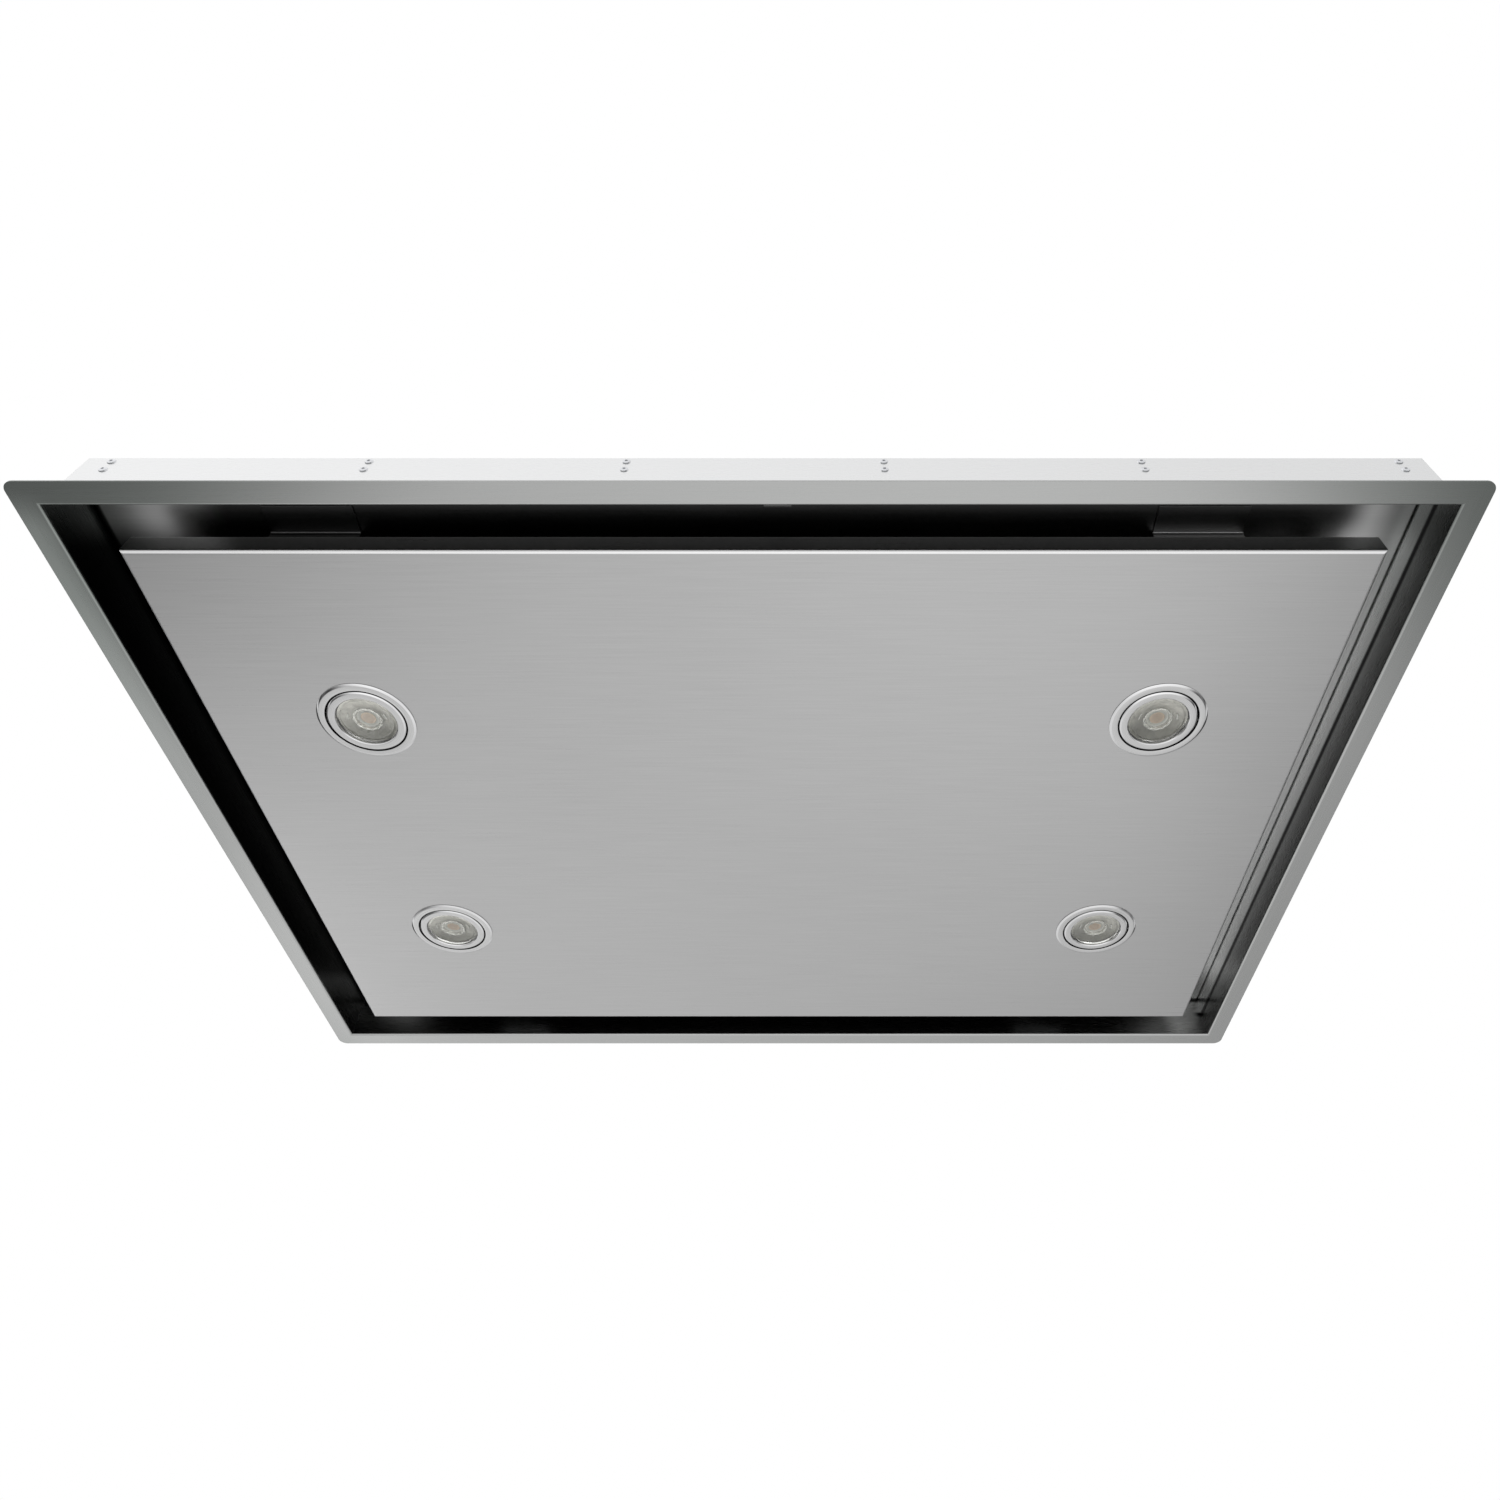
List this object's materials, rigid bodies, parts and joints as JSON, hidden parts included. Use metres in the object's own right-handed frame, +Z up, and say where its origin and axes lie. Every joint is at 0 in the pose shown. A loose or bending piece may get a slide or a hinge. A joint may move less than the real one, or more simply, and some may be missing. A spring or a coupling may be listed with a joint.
{
  "type": "ceiling range hood",
  "caption": "Flush ceiling range hood: stainless flange, perimeter suction gap round a drop-down brushed panel with tilting spot lamps, blower box and round duct spigot on top.",
  "frame": {"origin": "centre of the ceiling cut-out, on the ceiling surface, which is the flange's upper face", "axes": "+X along the long side, +Z up into the ceiling, -Y towards the side where the panel drops open"},
  "size_m": [1, 0.7, 0.3478],
  "materials": {
    "panel_stainless": "fine straight brushing along the length",
    "frame_stainless": "fine brushing along each side",
    "zinc_sheet": "bright galvanised sheet",
    "rivet_aluminium": "satin",
    "damper_sheet": "thin galvanised sheet",
    "steel_pin": "bright drawn steel",
    "satin_nickel": "satin nickel, bright bevel",
    "lens_glass": "clear pressed glass with facets",
    "cast_aluminium": "die-cast, matt",
    "filter_aluminium": "folded frame with expanded mesh",
    "black_plastic": "fine spark texture",
    "ferrite": "sintered, dark grey",
    "motor_paint": "black dipped lacquer",
    "white_plastic": "moulded, off-white"
  },
  "bodies": {
    "casing": {"outer_frame": "frame_stainless", "recess_pan": "frame_stainless", "top_cover": "zinc_sheet", "wall_rivets": "rivet_aluminium", "hinge_fixed_leaf_left": "zinc_sheet", "hinge_fixed_leaf_right": "zinc_sheet", "hinge_pins": "steel_pin", "catch_bracket_left": "zinc_sheet", "catch_bracket_right": "zinc_sheet", "catch_magnets": "ferrite", "fan_scroll": "zinc_sheet", "fan_motor": "motor_paint", "run_capacitor": "white_plastic", "motor_box": "zinc_sheet", "duct_collar": "zinc_sheet", "damper_pin": "steel_pin", "control_box": "zinc_sheet", "mains_inlet": "black_plastic", "led_driver": "white_plastic", "remote_receiver": "black_plastic", "filter_frame_left": "filter_aluminium", "filter_mesh_left": "filter_aluminium", "filter_frame_right": "filter_aluminium", "filter_mesh_right": "filter_aluminium", "hanger_bracket_1": "zinc_sheet", "hanger_bracket_2": "zinc_sheet", "hanger_bracket_3": "zinc_sheet", "hanger_bracket_4": "zinc_sheet"},
    "panel": {"suction_panel": "panel_stainless", "panel_rail_left": "zinc_sheet", "panel_rail_right": "zinc_sheet", "hinge_moving_leaf_left": "zinc_sheet", "hinge_moving_leaf_right": "zinc_sheet", "strike_plates": "zinc_sheet", "lamp_trims": "satin_nickel"},
    "blower_wheel": {"impeller": "zinc_sheet", "motor_shaft": "steel_pin"},
    "damper_left": {"damper_flap_left": "damper_sheet"},
    "damper_right": {"damper_flap_right": "damper_sheet"},
    "latch_left": {"filter_latch_left": "black_plastic"},
    "latch_right": {"filter_latch_right": "black_plastic"},
    "lamp_1": {"lamp_ring_1": "satin_nickel", "lamp_lens_1": "lens_glass", "lamp_housing_1": "cast_aluminium"},
    "lamp_2": {"lamp_ring_2": "satin_nickel", "lamp_lens_2": "lens_glass", "lamp_housing_2": "cast_aluminium"},
    "lamp_3": {"lamp_ring_3": "satin_nickel", "lamp_lens_3": "lens_glass", "lamp_housing_3": "cast_aluminium"},
    "lamp_4": {"lamp_ring_4": "satin_nickel", "lamp_lens_4": "lens_glass", "lamp_housing_4": "cast_aluminium"}
  },
  "joints": [
    {"name": "panel_hinge", "type": "hinge", "parent": "casing", "child": "panel", "pos_m": [0, 0.29, 0.03], "axis": [1, 0, 0], "range_deg": [0, 90]},
    {"name": "lamp_tilt_1", "type": "hinge", "parent": "panel", "child": "lamp_1", "pos_m": [-0.32, -0.138, 0.0006], "axis": [1, 0, 0], "range_deg": [-20, 20]},
    {"name": "lamp_tilt_2", "type": "hinge", "parent": "panel", "child": "lamp_2", "pos_m": [0.32, -0.138, 0.0006], "axis": [1, 0, 0], "range_deg": [-20, 20]},
    {"name": "lamp_tilt_3", "type": "hinge", "parent": "panel", "child": "lamp_3", "pos_m": [-0.32, 0.138, 0.0006], "axis": [1, 0, 0], "range_deg": [-20, 20]},
    {"name": "lamp_tilt_4", "type": "hinge", "parent": "panel", "child": "lamp_4", "pos_m": [0.32, 0.138, 0.0006], "axis": [1, 0, 0], "range_deg": [-20, 20]},
    {"name": "impeller_spin", "type": "hinge", "parent": "casing", "child": "blower_wheel", "pos_m": [0, -0.0144, 0.1804], "axis": [1, 0, 0], "continuous": true},
    {"name": "damper_right_swing", "type": "hinge", "parent": "casing", "child": "damper_right", "pos_m": [0, 0.06315, 0.3188], "axis": [1, 0, 0], "range_deg": [0, 75]},
    {"name": "damper_left_swing", "type": "hinge", "parent": "casing", "child": "damper_left", "pos_m": [0, 0.06315, 0.3188], "axis": [-1, 0, 0], "range_deg": [0, 75]},
    {"name": "filter_latch_left_slide", "type": "slide", "parent": "casing", "child": "latch_left", "axis": [0, 1, 0], "range_m": [0, 0.0055], "stiffness_N_per_m": 400, "springref_m": -0.002},
    {"name": "filter_latch_right_slide", "type": "slide", "parent": "casing", "child": "latch_right", "axis": [0, 1, 0], "range_m": [0, 0.0055], "stiffness_N_per_m": 400, "springref_m": -0.002}
  ]
}
